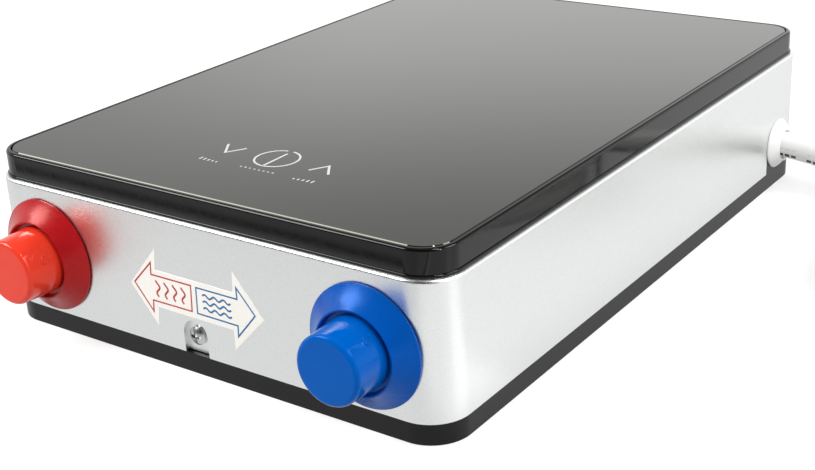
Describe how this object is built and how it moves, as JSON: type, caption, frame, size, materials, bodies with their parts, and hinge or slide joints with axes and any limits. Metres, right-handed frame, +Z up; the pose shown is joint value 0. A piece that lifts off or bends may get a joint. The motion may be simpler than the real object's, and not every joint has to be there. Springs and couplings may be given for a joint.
{
  "type": "tankless_water_heater",
  "caption": "Flat tankless electric water heater with a black glass touch panel, satin silver case, red and blue capped pipe connectors and a white mains cord, lying on its back.",
  "frame": {"origin": "middle of the base's underside, where the heater rests", "axes": "+X to the cord's side, +Y from the connector end to the far end, +Z up through the glass"},
  "size_m": [0.3948, 0.306, 0.065],
  "materials": {
    "case_silver": "satin, fine bead-blasted look",
    "black_gloss": "gloss",
    "black_matte": "fine moulded grain",
    "dark_glass": "polished, black print behind",
    "zinc_steel": "zinc plated",
    "red_plastic": "semi-gloss",
    "blue_plastic": "semi-gloss",
    "brass": "turned",
    "black_rubber": "matte",
    "pale_plastic": "moulded",
    "copper": "drawn tube",
    "cast_aluminium": "as cast",
    "circuit_board": "green mask",
    "component_plastic": "moulded",
    "blue_case": "moulded",
    "lead_red": "silicone sleeve",
    "ring_core": "taped",
    "cord_white": "soft satin",
    "plug_metal": "nickel plated"
  },
  "bodies": {
    "case": {"base_tray": "black_matte", "case_shell": "case_silver", "top_cover": "black_gloss", "glass_panel": "dark_glass", "case_screws": "zinc_steel", "cover_screws": "zinc_steel", "hot_collar": "red_plastic", "cold_collar": "blue_plastic", "outlet_nipple": "brass", "inlet_nipple": "brass", "lock_nuts": "brass", "nipple_seals": "black_rubber", "inlet_strainer": "pale_plastic", "flow_housing": "component_plastic", "flow_guide": "pale_plastic", "rotor_pin": "zinc_steel", "hall_sensor": "component_plastic", "inlet_tube": "copper", "outlet_tube": "copper", "temperature_probe": "pale_plastic", "heater_block": "cast_aluminium", "heater_screws": "zinc_steel", "element_terminals": "zinc_steel", "heater_leads": "lead_red", "thermal_cutout": "component_plastic", "cutout_screws": "zinc_steel", "triac": "component_plastic", "triac_screw": "zinc_steel", "control_board": "circuit_board", "board_screws": "zinc_steel", "relays": "blue_case", "power_module": "component_plastic", "leakage_coil": "ring_core", "terminal_block": "component_plastic", "mains_leads": "lead_red", "touch_board": "circuit_board", "touch_board_screws": "zinc_steel", "touch_pads": "black_rubber", "digit_display": "component_plastic", "cord_gland": "pale_plastic", "cord_clamp": "pale_plastic", "clamp_screws": "zinc_steel", "power_cord": "cord_white", "cord_coil": "cord_white", "cord_ties": "component_plastic", "cord_tail": "cord_white", "plug_body": "cord_white", "plug_pins": "plug_metal", "plug_earth": "brass"},
    "hot_cap": {"hot_cap": "red_plastic"},
    "cold_cap": {"cold_cap": "blue_plastic"},
    "flow_rotor": {"flow_rotor": "component_plastic"},
    "reset_button": {"reset_button": "red_plastic"}
  },
  "joints": [
    {"name": "hot_cap_pull", "type": "slide", "parent": "case", "child": "hot_cap", "axis": [0, -1, 0], "range_m": [0, 0.045]},
    {"name": "cold_cap_pull", "type": "slide", "parent": "case", "child": "cold_cap", "axis": [0, -1, 0], "range_m": [0, 0.045]},
    {"name": "rotor_spin", "type": "hinge", "parent": "case", "child": "flow_rotor", "pos_m": [0.0704, -0.11, 0.0297], "axis": [0, 1, 0], "continuous": true},
    {"name": "reset_press", "type": "slide", "parent": "case", "child": "reset_button", "axis": [0, 0, -1], "range_m": [0, 0.0012], "stiffness_N_per_m": 400}
  ]
}
